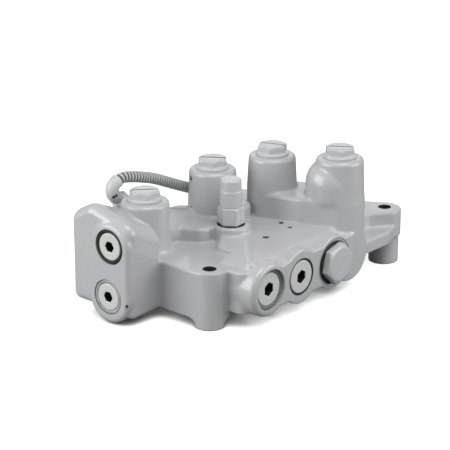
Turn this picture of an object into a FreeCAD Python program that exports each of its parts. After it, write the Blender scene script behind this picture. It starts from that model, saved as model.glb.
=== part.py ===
import FreeCAD
import Part
import math
import os

# A cast manifold valve that positions a loader bucket, in millimetres.
# The origin is on the mounting plane, midway between the two front feet along X.
# X runs along the front face, Y runs back from it and Z is up.

Vec = FreeCAD.Vector
X_AXIS = Vec(1, 0, 0)
Y_AXIS = Vec(0, 1, 0)
Z_AXIS = Vec(0, 0, 1)

# Levels of the casting above the mounting plane
underside_z = 8.0
row_underside_z = 13.0
ledge_under_z = 24.0
ledge_z = 35.0
flange_z = 47.0
shoulder_z = 48.0
deck_z = 53.0
pad_z = 59.0
saddle_z = 75.0

# Walls of the casting
front_y = -70.0
rear_y = 66.0
deck_wall_y = -61.0
deck_right_x = 56.0
ledge_front_y = -68.5
ledge_right_x = 84.5
web_front_y = -50.3
web_corner_x = 78.6
row_back_y = -30.0
cast_round = 3.0

# Rounded front edge of the row: foot of its slope and crest, as (y, z)
row_slope_foot = (-62.5, 49.5)
row_crest = (-57.0, deck_z)
row_left_x = -60.0
row_left_corner_x = -56.0
row_right_reach = 21.0
row_rim_round = 4.5
row_lobe_top_z = 47.5

# Feet, each a round column with a bolt hole
foot_radius = 12.5
foot_hole_radius = 5.5
foot_flare = 5.0
front_left_foot = (-102.3, -31.7)
front_right_foot = (102.3, -49.0)
rear_right_foot = (66.5, 36.0)
rear_left_foot = (-81.5, 74.0)
feet = [front_left_foot, front_right_foot, rear_right_foot, rear_left_foot]

# Row of bores in the front face
port_z = 30.5
port_boss_radius = 22.2
left_port_x = -73.5
middle_port_x = -36.3
spool_x = 6.0
row_end_x = 28.0
root_left_x = -95.0
root_round = 8.0
port_gallery_radius = 9.0
left_gallery_end_y = 30.0
middle_gallery_end_y = 20.0

# Left end block with its two plugged bores
end_face_x = -151.5
end_pad_proud = 2.0
end_boss_radius = 21.5
end_pad_round = 4.0
end_block_right_x = -115.0
end_block_label_y = 8.5
end_block_crest = (50.0, 97.5)
end_block_label_z = 86.0
end_block_rear_y = 71.0
end_block_rear_z = 86.0
end_block_fall = 15.5
end_block_round = 7.0
end_block_heel = 20.0
end_root_slim = 6.0
end_root_reach = 8.0
end_gallery_radius = 7.0
lower_end_bore = (30.0, 22.6)
upper_end_bore = (27.6, 64.4)
lower_gallery_end_x = -66.0

# Towers: name, centre X, centre Y, height of the machined top, turn of the plug's slot
tower_radius = 19.3
tower_draft = 1.3
tower_edge_round = 3.5
tower_foot_round = 4.0
tower_bore_radius = 11.0
seat_z = 44.0
seat_hole_radius = 6.0
towers = [
    ("1", -101.4, 35.7, 88.0, -43.5),
    ("2", -21.5, 34.5, 95.0, -56.0),
    ("3", 20.0, 6.0, 102.5, -70.0),
    ("4", 38.2, -49.3, 107.0, -56.5),
]
tower_foot_levels = {"1": flange_z, "2": deck_z, "3": 0, "4": 0}

# Side dome of the fourth tower and of the first
dome_4 = (34.3, -44.7, 85.0, 21.5)
shoulder_high = (-82.0, 42.0, 57.5)
shoulder_low = (-45.0, 45.0, 46.0)
shoulder_radius = 17.0
dome_trim = 2.5

# Pedestal under the third and fourth towers
pedestal_bulge = (28.5, -25.0)
pedestal_swell = 1.7
pedestal_front_swell = 0.4

# Nose of the pad between the first two towers
nose = (-56.0, 18.0)
nose_radius = 10.5

# Relief cartridge beside the second tower
relief_x = -38.0
relief_y = 1.0
relief_boss_radius = 15.5
relief_bore_radius = 9.0
relief_seat_z = 42.0
relief_drill_radius = 4.0

# Low blank boss beside the relief cartridge
blank_boss = (-12.5, 17.0)
blank_boss_radius = 12.0
blank_boss_z = 66.5
blank_boss_round = 3.5

# Spool bore and the wider ends for its springs
spool_bore_radius = 9.0
spool_end_radius = 13.0
spool_front_y = -44.0
spool_rear_y = 40.0
spool_spot_radius = 20.3
spool_spot_depth = 0.8
spool_branch_radius = 5.0

# Threaded ports in the rear wall
rear_port_radius = 10.45
rear_port_depth = 18.0
rear_gallery_radius = 7.0
rear_left_port_x = -24.0

# Clearances
running_clearance = 0.05
thread_clearance = 0.1
ring_clearance = 0.1

# Tower plugs
collar_radius = 13.5
collar_height = 2.3
plug_flats = 22.0
plug_height = 8.8
plug_chamfer = 2.4
plug_corner_angle = 40.0
edge_break = 0.6
slot_width = 2.0
slot_depth = 2.5
plug_thread = 18.0
plug_neck = 2.2
plug_neck_radius = 9.0
spring_pocket_radius = 8.0
spring_roof = 5.0

# Poppets and their springs
poppet_height = 16.0
poppet_floor = 6.0
poppet_nose = 3.0
poppet_nose_taper = 2.0
poppet_chamfer = 1.5
nose_clearance = 0.3
tower_spring_radius = 6.6
tower_spring_wire = 1.8

# Round plugs of the front face and of the left end
front_left_cup = (16.7, 5.2)
front_middle_cup = (15.2, 1.8)
front_head_radius = 13.4
front_left_sink = 2.6
front_socket_flats = 10.0
socket_angle = 30.0
end_cup = (14.2, 3.2)
end_head_radius = 11.0
end_socket_flats = 8.0
end_sink = 0.4
socket_depth = 7.0
plug_thread_length = 14.0
thread_end_chamfer = 1.0
front_left_ring = 1.45
front_middle_ring = 0.8
end_ring = 1.4

# Big hexagon plug on the spool bore and the plug behind it
spool_plug_flats = 30.0
spool_plug_head = 8.0
spool_plug_lift = 1.4
spool_plug_ring_width = 2.8
spool_plug_angle = 14.0
spool_plug_chamfer = 3.0
spool_plug_thread = 12.0
spool_plug_pocket = 8.0
spool_pocket_radius = 9.5
rear_head_radius = 16.0
rear_head_length = 5.0
rear_socket_flats = 14.0
rear_neck_length = 3.0
rear_neck_depth = 2.0

# Spool
spool_groove_radius = 6.5
spool_groove_length = 9.0
spool_chamfer = 0.8
spool_grooves_y = (-24.0, -4.0, 20.0)
spool_spring_radius = 6.4
spool_spring_wire = 1.8

# Relief cartridge pieces
relief_flats = 19.0
relief_hex_height = 15.0
relief_hex_lift = 0.6
relief_hex_angle = 66.0
relief_hex_chamfer = 1.6
relief_hex_roof = 4.0
relief_neck_length = 3.0
relief_neck_reach = 1.0
relief_neck_radius = 8.0
relief_shank_radius = 8.9
relief_inner_radius = 5.2
relief_seat_height = 5.0
relief_seat_hole = 3.0
relief_poppet_disc = 2.5
relief_stem_radius = 2.4
relief_stem_length = 3.5
relief_tip_length = 2.0
relief_tip_taper = 1.5
relief_ring_section = 1.2
relief_ring_radius = 9.6
relief_groove_depth = 1.8
relief_screw_radius = 4.0
relief_screw_foot = 9.0
relief_screw_disc = 4.0
relief_screw_below_cap = 8.0
relief_slot_width = 1.2
relief_slot_depth = 1.8
relief_spring_radius = 3.7
relief_spring_wire = 1.3
locknut_flats = 13.0
locknut_height = 5.0
locknut_angle = 10.0
locknut_chamfer = 1.2
cap_radius = 8.9
cap_top_radius = 8.5
cap_step_z = 87.0
cap_top_z = 97.0
cap_roof = 4.0
cap_step = 0.5
cap_headroom = 1.0
cap_chamfer = 1.0

# Conduit between the end block and the rear deck
conduit_radius = 4.6
sleeve_wall = 0.7
gland_flats = 14.0
gland_height = 6.0
gland_collar_height = 2.0
gland_collar_radius = 6.3
gland_boss_radius = 7.5
gland_boss_length = 38.0
gland_left_boss_length = 5.0
gland_left_x = end_block_right_x + gland_boss_radius + 4.0
gland_left_y = towers[0][2] + tower_radius + tower_draft + gland_boss_radius - 0.6
conduit_route = [
    (gland_left_x, gland_left_y, 83.5),
    (gland_left_x - 7.1, gland_left_y - 0.4, 89.3),
    (gland_left_x - 5.6, gland_left_y - 0.7, 96.6),
    (gland_left_x + 3.3, gland_left_y - 1.7, 100.7),
    (gland_left_x + 17.5, gland_left_y - 3.2, 97.9),
    (-64.0, 61.0, 91.0),
    (-38.0, 62.0, 79.0),
    (-8.0, 61.0, 66.0),
]
sleeve_edge_count = 5

# How far a cutting body runs past the face that it opens
cut_over = 1.0

# Slack that keeps a straight run beside a corner as round as a foot
corner_slack = 0.1

# Low plate seen from above: x, y, rounding
plate_side_run = 20.0
plate_corners = [
    (front_left_foot[0] - foot_radius, front_left_foot[1] - foot_radius, foot_radius - corner_slack),
    (deck_right_x, front_left_foot[1] - foot_radius, 6.0),
    (rear_right_foot[0] + foot_radius, rear_right_foot[1] - plate_side_run, foot_radius),
    (rear_right_foot[0] + foot_radius, rear_right_foot[1] + foot_radius, foot_radius - corner_slack),
    (deck_right_x - 4.0, rear_right_foot[1] + foot_radius, 6.0),
    (deck_right_x - 4.0, rear_y, 6.0),
    (rear_left_foot[0] + foot_radius, rear_y, 6.0),
    (rear_left_foot[0] + foot_radius, rear_left_foot[1] + foot_radius, foot_radius - corner_slack),
    (rear_left_foot[0] - foot_radius, rear_left_foot[1] + foot_radius, foot_radius - corner_slack),
    (rear_left_foot[0] - foot_radius, rear_y, 6.0),
    (front_left_foot[0] - foot_radius, rear_y, 4.0),
]

# Web between the right feet: x, y, rounding
web_side_drop = 13.0
web_corners = [
    (deck_right_x - 10.0, web_front_y, 0.0),
    (web_corner_x, web_front_y, 5.0),
    (front_right_foot[0] - 5.2, front_right_foot[1] - 14.6, 7.0),
    (front_right_foot[0] + foot_radius, front_right_foot[1] - web_side_drop, 12.0),
    (front_right_foot[0] + foot_radius, front_right_foot[1] + 2.0, 8.0),
    (rear_right_foot[0] + foot_radius, rear_right_foot[1] - 11.0, 10.0),
    (rear_right_foot[0] + foot_radius, rear_right_foot[1] + foot_radius, foot_radius - corner_slack),
    (deck_right_x - 10.0, rear_right_foot[1] + foot_radius, 0.0),
]

# Lower ledge in front of the web: x, y, radius
ledge_circles = [
    (row_end_x, ledge_front_y + 10.0, 10.0),
    (ledge_right_x - 3.0, ledge_front_y + 5.0, 5.0),
    (front_right_foot[0], front_right_foot[1], foot_radius),
    (deck_right_x, -20.0, 8.0),
]

# Deck seen from above: x, y, rounding
deck_corners = [
    (-56.0, -1.0, 4.0),
    (-71.0, -12.0, 7.0),
    (-72.0, -36.0, 14.0),
    (-86.5, -54.0, 4.0),
    (-86.5, deck_wall_y, 4.0),
    (deck_right_x - 4.0, deck_wall_y, 16.0),
    (deck_right_x, 20.0, 12.0),
    (deck_right_x - 6.0, rear_y, 8.0),
    (-30.0, rear_y, 8.0),
    (-44.0, 6.0, 4.0),
]

# Pad that carries the second tower and the nose: x, y, radius
pad_circles = [
    (nose[0], nose[1], nose_radius),
    (towers[1][1], towers[1][2] - 6.0, tower_radius - 6.0),
    (towers[1][1] - 14.0, rear_y - 8.0, 8.0),
    (shoulder_high[0], rear_y - 8.0, 8.0),
]

# Pedestal: x, y, radius
pedestal_circles = [
    (towers[2][1], towers[2][2], tower_radius + tower_draft),
    (pedestal_bulge[0], pedestal_bulge[1], tower_radius + pedestal_swell),
    (towers[3][1], towers[3][2], tower_radius + tower_draft + pedestal_front_swell),
]

# Side profile of the row: y, z, rounding
row_profile = [
    (front_y, row_underside_z, 2.0),
    (front_y, shoulder_z, 2.0),
    (row_slope_foot[0], row_slope_foot[1], 6.0),
    (row_crest[0], row_crest[1], 2.0),
    (row_back_y, deck_z, 0.0),
    (row_back_y, row_underside_z, 0.0),
]

# Upper part of the row seen from above: x, y, rounding
row_plan = [
    (row_left_x, row_back_y, 0.0),
    (row_left_x, deck_wall_y, 2.0),
    (row_left_corner_x, front_y, 3.0),
    (row_end_x + row_right_reach, front_y, 14.0),
    (row_end_x + row_right_reach, row_back_y, 0.0),
]

# Side profile of the end block at its left face: y, z, rounding
end_block_corners = [
    (end_block_label_y, 6.0, 4.0),
    (end_block_label_y, end_block_label_z, 12.0),
    (end_block_crest[0], end_block_crest[1], 14.0),
    (end_block_rear_y, end_block_rear_z, 12.0),
    (end_block_rear_y, 10.5, 7.0),
    (end_block_rear_y - end_block_heel, 10.5, 2.0),
]


def cylinder(start, direction, radius, length):
    return Part.makeCylinder(radius, length, start, direction)


def flat(point):
    return Vec(point.x, point.y, 0)


def facing_x(point):
    return Vec(0, point.x, point.y)


def rounded_outline(corners, place):
    """Closed wire through corners (a, b, radius), each rounded by its radius."""
    count = len(corners)
    starts = []
    ends = []
    middles = []
    for i in range(count):
        a, b, radius = corners[i]
        here = Vec(a, b, 0)
        before = Vec(corners[i - 1][0], corners[i - 1][1], 0)
        after = Vec(corners[(i + 1) % count][0], corners[(i + 1) % count][1], 0)
        to_before = (before - here).normalize()
        to_after = (after - here).normalize()
        half = to_before.getAngle(to_after) / 2
        reach = radius / math.tan(half)
        bisector = (to_before + to_after).normalize()
        starts.append(here + to_before * reach)
        ends.append(here + to_after * reach)
        middles.append(here + bisector * (radius / math.sin(half) - radius))
    edges = []
    for i in range(count):
        if corners[i][2] > 0:
            arc = Part.Arc(place(starts[i]), place(middles[i]), place(ends[i]))
            edges.append(arc.toShape())
        following = starts[(i + 1) % count]
        if (following - ends[i]).Length > 1e-6:
            edges.append(Part.LineSegment(place(ends[i]), place(following)).toShape())
    return Part.Wire(edges)


def hull_outline(circles, place):
    """Convex outline round circles (a, b, radius), given anticlockwise."""
    count = len(circles)
    normals = []
    for i in range(count):
        a0, b0, r0 = circles[i]
        a1, b1, r1 = circles[(i + 1) % count]
        span = Vec(a1 - a0, b1 - b0, 0)
        slope = math.asin((r0 - r1) / span.Length)
        across = Vec(span.y, -span.x, 0).normalize()
        normals.append(across * math.cos(slope) + span.normalize() * math.sin(slope))
    edges = []
    for i in range(count):
        a0, b0, r0 = circles[i]
        a1, b1, r1 = circles[(i + 1) % count]
        arrive = normals[i - 1]
        leave = normals[i]
        cross = arrive.x * leave.y - arrive.y * leave.x
        half = (math.atan2(cross, arrive.dot(leave)) % (2 * math.pi)) / 2
        mid_a = arrive.x * math.cos(half) - arrive.y * math.sin(half)
        mid_b = arrive.x * math.sin(half) + arrive.y * math.cos(half)
        centre = Vec(a0, b0, 0)
        start = centre + arrive * r0
        middle = centre + Vec(mid_a, mid_b, 0) * r0
        end = centre + leave * r0
        onward = Vec(a1, b1, 0) + leave * r1
        edges.append(Part.Arc(place(start), place(middle), place(end)).toShape())
        edges.append(Part.LineSegment(place(end), place(onward)).toShape())
    return Part.Wire(edges)


def rise(wire, low, high):
    """Solid over a plan outline, between two levels."""
    face = Part.Face(wire)
    face.translate(Vec(0, 0, low))
    return face.extrude(Vec(0, 0, high - low))


def level_edges(shape, level):
    flat_edges = []
    for edge in shape.Edges:
        box = edge.BoundBox
        if abs(box.ZMin - level) < 1e-4 and abs(box.ZMax - level) < 1e-4:
            flat_edges.append(edge)
    return flat_edges


def round_top(shape, level, radius):
    return shape.makeFillet(radius, level_edges(shape, level))


def turned(points, centre):
    """Solid of revolution about a vertical axis from (radius, height) points."""
    corners = [Vec(r, 0, z) for r, z in points]
    wire = Part.makePolygon(corners + corners[:1])
    solid = Part.Face(wire).revolve(Vec(0, 0, 0), Z_AXIS, 360)
    solid.translate(centre)
    return solid


def aimed(shape, origin, direction):
    """Moves a shape made along +Z so that it points along a direction from an origin."""
    turn = FreeCAD.Rotation(Z_AXIS, direction)
    return shape.transformed(FreeCAD.Placement(origin, turn).toMatrix(), True)


def hexagon(flats, low, high, turn):
    """Upright hexagonal prism on the Z axis, with a corner at an angle in degrees."""
    corner = flats / 2 / math.cos(math.pi / 6)
    points = []
    for i in range(7):
        angle = math.radians(turn + 60 * i)
        points.append(Vec(corner * math.cos(angle), corner * math.sin(angle), low))
    return Part.Face(Part.makePolygon(points)).extrude(Vec(0, 0, high - low))


def chamfered_hexagon(flats, low, high, turn, chamfer):
    """Hexagonal prism whose upper corners are turned off."""
    corner = flats / 2 / math.cos(math.pi / 6)
    inner = flats / 2 - chamfer / 2
    steep = (corner - inner) * 0.55
    profile = [(0, low), (corner, low), (corner, high - steep), (inner, high), (0, high)]
    return hexagon(flats, low, high, turn).common(turned(profile, Vec(0, 0, 0)))


def seal_ring(inner, outer, low, high):
    """Flat ring seal with bevelled outer corners."""
    bevel = (outer - inner) / 4
    profile = [(inner, low), (outer - bevel, low), (outer, low + bevel),
               (outer, high - bevel), (outer - bevel, high), (inner, high)]
    return turned(profile, Vec(0, 0, 0))


def bead_ring(mean_radius, section):
    """Seal ring of eight-sided section that rests on the level of zero."""
    half = section * math.tan(math.pi / 8)
    low = section - half
    high = section + half
    profile = [
        (mean_radius - half, 0), (mean_radius + half, 0), (mean_radius + section, low),
        (mean_radius + section, high), (mean_radius + half, 2 * section),
        (mean_radius - half, 2 * section), (mean_radius - section, high), (mean_radius - section, low),
    ]
    return turned(profile, Vec(0, 0, 0))


def coil_spring(mean_radius, wire_size, low, high, turns):
    """Compression spring of square wire on the Z axis."""
    half = wire_size / 2
    rise_height = high - low - wire_size
    helix = Part.makeHelix(rise_height / turns, rise_height, mean_radius)
    section = Part.makePolygon([
        Vec(mean_radius - half, 0, -half),
        Vec(mean_radius + half, 0, -half),
        Vec(mean_radius + half, 0, half),
        Vec(mean_radius - half, 0, half),
        Vec(mean_radius - half, 0, -half),
    ])
    coil = Part.Wire(helix.Edges).makePipeShell([section], True, True)
    coil.translate(Vec(0, 0, low + half))
    return coil


def tower_shell(x, y, top, foot_level):
    """Round tower with draft, a rounded rim and a fillet at its foot."""
    base = tower_radius + tower_draft
    rim = tower_edge_round
    foot = tower_foot_round if foot_level else 0.01
    level = foot_level or saddle_z
    bend = math.sqrt(0.5)
    points = [
        Vec(0, 0, level),
        Vec(base + foot, 0, level),
        Vec(base, 0, level + foot),
        Vec(tower_radius, 0, top - rim),
        Vec(tower_radius - rim, 0, top),
        Vec(0, 0, top),
    ]
    foot_middle = Vec(base + foot * (1 - bend), 0, level + foot * (1 - bend))
    rim_middle = Vec(tower_radius - rim * (1 - bend), 0, top - rim * (1 - bend))
    edges = [
        Part.LineSegment(points[0], points[1]).toShape(),
        Part.Arc(points[1], foot_middle, points[2]).toShape(),
        Part.LineSegment(points[2], points[3]).toShape(),
        Part.Arc(points[3], rim_middle, points[4]).toShape(),
        Part.LineSegment(points[4], points[5]).toShape(),
        Part.LineSegment(points[5], points[0]).toShape(),
    ]
    solid = Part.Face(Part.Wire(edges)).revolve(Vec(0, 0, 0), Z_AXIS, 360)
    solid.translate(Vec(x, y, 0))
    return solid.fuse(cylinder(Vec(x, y, ledge_under_z), Z_AXIS, base, level - ledge_under_z))


def foot_flares(outline):
    """Arched blends from each foot into the underside, inside the flange's outline."""
    low = underside_z - foot_flare
    bend = math.sqrt(0.5)
    wide = foot_radius + foot_flare
    points = [
        Vec(0, 0, low),
        Vec(foot_radius, 0, low),
        Vec(wide, 0, underside_z),
        Vec(0, 0, underside_z),
    ]
    middle = Vec(foot_radius + foot_flare * (1 - bend), 0, low + foot_flare * bend)
    edges = [
        Part.LineSegment(points[0], points[1]).toShape(),
        Part.Arc(points[1], middle, points[2]).toShape(),
        Part.LineSegment(points[2], points[3]).toShape(),
        Part.LineSegment(points[3], points[0]).toShape(),
    ]
    flares = []
    for x, y in feet:
        flare = Part.Face(Part.Wire(edges)).revolve(Vec(0, 0, 0), Z_AXIS, 360)
        flare.translate(Vec(x, y, 0))
        flares.append(flare.common(outline))
    return flares


def foot_column(x, y):
    return cylinder(Vec(x, y, 0), Z_AXIS, foot_radius, flange_z)


def base_flange():
    """Low plate that carries the deck, with rounded corners at the feet."""
    plate = rise(rounded_outline(plate_corners, flat), underside_z, flange_z)
    plate = round_top(plate, flange_z, cast_round / 2)
    return plate.fuse(foot_flares(rise(rounded_outline(plate_corners, flat), 0, underside_z)))


def right_ear():
    """Web that joins the right feet to the block, with the lower ledge in front."""
    web = rise(rounded_outline(web_corners, flat), ledge_under_z, flange_z)
    ledge = rise(hull_outline(ledge_circles, flat), ledge_under_z, ledge_z)
    return round_top(web, flange_z, cast_round / 2).fuse(round_top(ledge, ledge_z, cast_round * 2 / 3))


def front_row():
    """Block behind the front face, with a round boss for each bore."""
    face = Part.Face(rounded_outline(row_profile, facing_x))
    face.translate(Vec(left_port_x, 0, 0))
    block = face.extrude(Vec(row_end_x - left_port_x + port_boss_radius, 0, 0))
    upper = block.common(rise(rounded_outline(row_plan, flat), 0, deck_z))
    lower_plan = Part.makeBox(row_end_x - left_port_x, row_back_y - front_y, flange_z,
                              Vec(left_port_x, front_y, 0))
    root = rounded_outline([
        (root_left_x, row_back_y, 0.0),
        (root_left_x, deck_wall_y, root_round),
        (left_port_x, deck_wall_y, 0.0),
        (left_port_x, row_back_y, 0.0),
    ], flat)
    root = round_top(rise(root, row_underside_z, flange_z), flange_z, cast_round / 2)
    row = upper.fuse([block.common(lower_plan), root])
    for x in (left_port_x, middle_port_x, spool_x):
        boss = cylinder(Vec(x, front_y, port_z), Y_AXIS, port_boss_radius, row_back_y - front_y)
        if x == left_port_x:
            rim = [e for e in boss.Edges if e.BoundBox.YMax < front_y + cut_over]
            boss = boss.makeFillet(row_rim_round, rim)
        row = row.fuse(boss)
    lobe = cylinder(Vec(row_end_x, front_y, port_z), Y_AXIS, port_boss_radius, row_back_y - front_y)
    under = Part.makeBox(4 * port_boss_radius, row_back_y - front_y, row_lobe_top_z,
                         Vec(row_end_x - 2 * port_boss_radius, front_y, 0))
    return row.fuse(lobe.common(under))


def deck():
    """Raised block that carries the middle towers and the relief cartridge."""
    body = rise(rounded_outline(deck_corners, flat), row_underside_z, deck_z)
    body = round_top(body, deck_z, cast_round)
    boss = cylinder(Vec(relief_x, relief_y, underside_z), Z_AXIS, relief_boss_radius, pad_z - underside_z)
    boss = round_top(boss, pad_z, cast_round / 2)
    pad = round_top(rise(hull_outline(pad_circles, flat), underside_z, pad_z), pad_z, cast_round)
    low = cylinder(Vec(blank_boss[0], blank_boss[1], underside_z), Z_AXIS, blank_boss_radius,
                   blank_boss_z - underside_z)
    low = round_top(low, blank_boss_z, blank_boss_round)
    return body.fuse([boss, pad, low])


def pedestal():
    """Saddle block that joins the third and fourth towers."""
    outline = hull_outline(pedestal_circles, flat)
    return round_top(rise(outline, ledge_under_z, saddle_z), saddle_z, cast_round)


def dome(x, y, centre_z, radius, low):
    ball = Part.makeSphere(radius, Vec(x, y, centre_z))
    return cylinder(Vec(x, y, low), Z_AXIS, radius, centre_z - low).fuse(ball)


def shoulder():
    """Rounded shoulder that runs down from the first tower to the second."""
    high = Vec(*shoulder_high)
    low = Vec(*shoulder_low)
    span = low - high
    ridge = cylinder(high, span, shoulder_radius, span.Length)
    ridge = ridge.fuse([Part.makeSphere(shoulder_radius, high), Part.makeSphere(shoulder_radius, low)])
    outline = hull_outline([
        (high.x, high.y, shoulder_radius),
        (low.x, low.y, shoulder_radius),
    ], flat)
    return ridge.fuse(rise(outline, underside_z, low.z))


def end_block():
    """Upright block at the left end, falling towards the first tower, with a pad round its bores."""
    face = Part.Face(rounded_outline(end_block_corners, facing_x))
    body_face_x = end_face_x + end_pad_proud
    face.translate(Vec(body_face_x, 0, 0))
    upper = face.extrude(Vec(end_block_right_x - body_face_x, 0, -end_block_fall))
    lower = face.extrude(Vec(end_block_right_x - body_face_x, 0, 0))
    seam_z = upper_end_bore[1] - end_block_fall
    size = 2 * end_block_crest[1]
    above = Part.makeBox(size, size, size, Vec(body_face_x, 0, lower_end_bore[1]))
    below = Part.makeBox(size, size, seam_z, Vec(body_face_x, 0, 0))
    block = upper.common(above).fuse(lower.common(below)).removeSplitter()
    rim = [e for e in block.Edges if e.BoundBox.XMax < body_face_x + 0.1]
    block = block.makeFillet(end_block_round, rim)
    pad_face = Part.Face(hull_outline([
        (lower_end_bore[0], lower_end_bore[1], end_boss_radius),
        (upper_end_bore[0], upper_end_bore[1], upper_end_bore[0] - end_block_label_y),
    ], facing_x))
    pad_face.translate(Vec(end_face_x, 0, 0))
    pad = pad_face.extrude(Vec(end_pad_proud + end_block_round, 0, 0))
    pad_rim = [e for e in pad.Edges if e.BoundBox.XMax < end_face_x + 0.1]
    pad = pad.makeFillet(end_pad_round, pad_rim)
    start = Vec(end_face_x + end_pad_proud, lower_end_bore[0], lower_end_bore[1])
    root = Part.makeCone(end_boss_radius, end_boss_radius - end_root_slim,
                         end_block_right_x - end_face_x + end_root_reach, start, X_AXIS)
    return block.fuse([pad, root])


def route_direction(first, second):
    return (Vec(*second) - Vec(*first)).normalize()


def gland_bosses():
    """Cast bosses that the two conduit glands screw into, the left one on a post beside its tower."""
    left_direction = route_direction(conduit_route[1], conduit_route[0])
    left_start = Vec(*conduit_route[0]) + left_direction * gland_height
    left_boss = cylinder(left_start, left_direction, gland_boss_radius, gland_left_boss_length)
    foot = Vec(left_start.x, left_start.y, flange_z - cut_over)
    post = cylinder(foot, Z_AXIS, gland_boss_radius, left_start.z - foot.z)
    post = post.cut(cylinder(left_start, left_direction * -1, 3 * gland_boss_radius, 3 * gland_boss_radius))
    right_direction = route_direction(conduit_route[-2], conduit_route[-1])
    right_start = Vec(*conduit_route[-1]) + right_direction * gland_height
    right_boss = cylinder(right_start, right_direction, gland_boss_radius, gland_boss_length)
    return [left_boss, post, right_boss]


def casting():
    """The whole casting before its bores are cut."""
    body = base_flange()
    body = body.fuse([foot_column(x, y) for x, y in feet])
    body = body.fuse([right_ear(), front_row(), deck(), pedestal(), end_block()])
    for name, x, y, top, slot_turn in towers:
        body = body.fuse(tower_shell(x, y, top, tower_foot_levels[name]))
    x, y, z, radius = dome_4
    ball = dome(x, y, z, radius, saddle_z - cast_round)
    body = body.fuse(ball.common(cylinder(Vec(x, y, 0), Z_AXIS, radius + 1, towers[3][3] - dome_trim)))
    body = body.fuse(shoulder())
    return body.fuse(gland_bosses())


def cut_bores(body):
    """Drills every bore, gallery and seat."""
    tools = []
    for x, y in feet:
        tools.append(cylinder(Vec(x, y, -cut_over), Z_AXIS, foot_hole_radius, flange_z + 2 * cut_over))
    for name, x, y, top, slot_turn in towers:
        floor = lower_end_bore[1] if name == "1" else port_z
        tools.append(cylinder(Vec(x, y, seat_z), Z_AXIS, tower_bore_radius, top - seat_z + cut_over))
        tools.append(cylinder(Vec(x, y, floor), Z_AXIS, seat_hole_radius, seat_z - floor + cut_over))
    for x, end_y, cup in ((left_port_x, left_gallery_end_y, front_left_cup),
                          (middle_port_x, middle_gallery_end_y, front_middle_cup)):
        tools.append(cylinder(Vec(x, front_y - cut_over, port_z), Y_AXIS, cup[0], cup[1] + cut_over))
        tools.append(cylinder(Vec(x, front_y, port_z), Y_AXIS, port_gallery_radius, end_y - front_y))
    for bore, end_x in ((lower_end_bore, lower_gallery_end_x), (upper_end_bore, towers[0][1])):
        start = Vec(end_face_x - cut_over, bore[0], bore[1])
        tools.append(cylinder(start, X_AXIS, end_cup[0], end_cup[1] + cut_over))
        tools.append(cylinder(Vec(end_face_x, bore[0], bore[1]), X_AXIS, end_gallery_radius, end_x - end_face_x))
    tools.append(cylinder(Vec(relief_x, relief_y, relief_seat_z), Z_AXIS, relief_bore_radius, pad_z))
    tools.append(cylinder(Vec(relief_x, relief_y, port_z), Z_AXIS, relief_drill_radius,
                          relief_seat_z - port_z + cut_over))
    groove_radius = relief_ring_radius + relief_ring_section + ring_clearance
    tools.append(cylinder(Vec(relief_x, relief_y, pad_z - relief_groove_depth), Z_AXIS, groove_radius, pad_z))
    tools.append(cylinder(Vec(spool_x, front_y - cut_over, port_z), Y_AXIS, spool_spot_radius,
                          spool_spot_depth + cut_over))
    tools.append(cylinder(Vec(spool_x, front_y, port_z), Y_AXIS, spool_end_radius, spool_front_y - front_y))
    tools.append(cylinder(Vec(spool_x, front_y, port_z), Y_AXIS, spool_bore_radius, rear_y - front_y))
    tools.append(cylinder(Vec(spool_x, spool_rear_y, port_z), Y_AXIS, spool_end_radius,
                          rear_y - spool_rear_y + cut_over))
    tools.append(cylinder(Vec(spool_x, towers[2][2], port_z), X_AXIS, spool_branch_radius,
                          towers[2][1] - spool_x))
    for x, tower in ((rear_left_port_x, towers[1]), (towers[3][1], towers[3])):
        start = rear_y - rear_port_depth
        tools.append(cylinder(Vec(x, start, port_z), Y_AXIS, rear_port_radius, rear_port_depth + cut_over))
        tools.append(cylinder(Vec(x, tower[2], port_z), Y_AXIS, rear_gallery_radius, start - tower[2] + cut_over))
    return body.cut(tools)


def tower_plug(x, y, top, slot_turn):
    """Hexagon plug with a collar, a slot across its top and a spring pocket below."""
    thread_radius = tower_bore_radius - thread_clearance
    shank = [
        (0, -plug_thread), (thread_radius, -plug_thread), (thread_radius, -plug_neck),
        (plug_neck_radius, -plug_neck), (plug_neck_radius, 0), (collar_radius, 0),
        (collar_radius, collar_height - edge_break), (collar_radius - edge_break, collar_height),
        (0, collar_height),
    ]
    body = turned(shank, Vec(0, 0, 0))
    head = chamfered_hexagon(plug_flats, collar_height, plug_height, slot_turn + plug_corner_angle, plug_chamfer)
    slot = Part.makeBox(4 * collar_radius, slot_width, slot_depth + cut_over,
                        Vec(-2 * collar_radius, -slot_width / 2, plug_height - slot_depth))
    slot.rotate(Vec(0, 0, 0), Z_AXIS, slot_turn)
    pocket = cylinder(Vec(0, 0, -plug_thread), Z_AXIS, spring_pocket_radius, plug_thread - spring_roof)
    body = body.fuse(head).cut(slot).cut(pocket)
    body.translate(Vec(x, y, top))
    return body


def tower_oring(x, y, top):
    ring = seal_ring(plug_neck_radius + ring_clearance, tower_bore_radius - ring_clearance,
                     -plug_neck + ring_clearance, -ring_clearance)
    ring.translate(Vec(x, y, top))
    return ring


def poppet(x, y):
    """Cup-shaped poppet that sits on the shelf and guides in the bore."""
    guide = tower_bore_radius - running_clearance
    nose_tip = seat_hole_radius - nose_clearance
    profile = [
        (0, -poppet_nose), (nose_tip - poppet_nose_taper, -poppet_nose),
        (nose_tip, poppet_nose_taper - poppet_nose), (nose_tip, 0), (guide - poppet_chamfer, 0),
        (guide, poppet_chamfer), (guide, poppet_height), (spring_pocket_radius, poppet_height),
        (spring_pocket_radius, poppet_floor), (0, poppet_floor),
    ]
    return turned(profile, Vec(x, y, seat_z))


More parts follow.
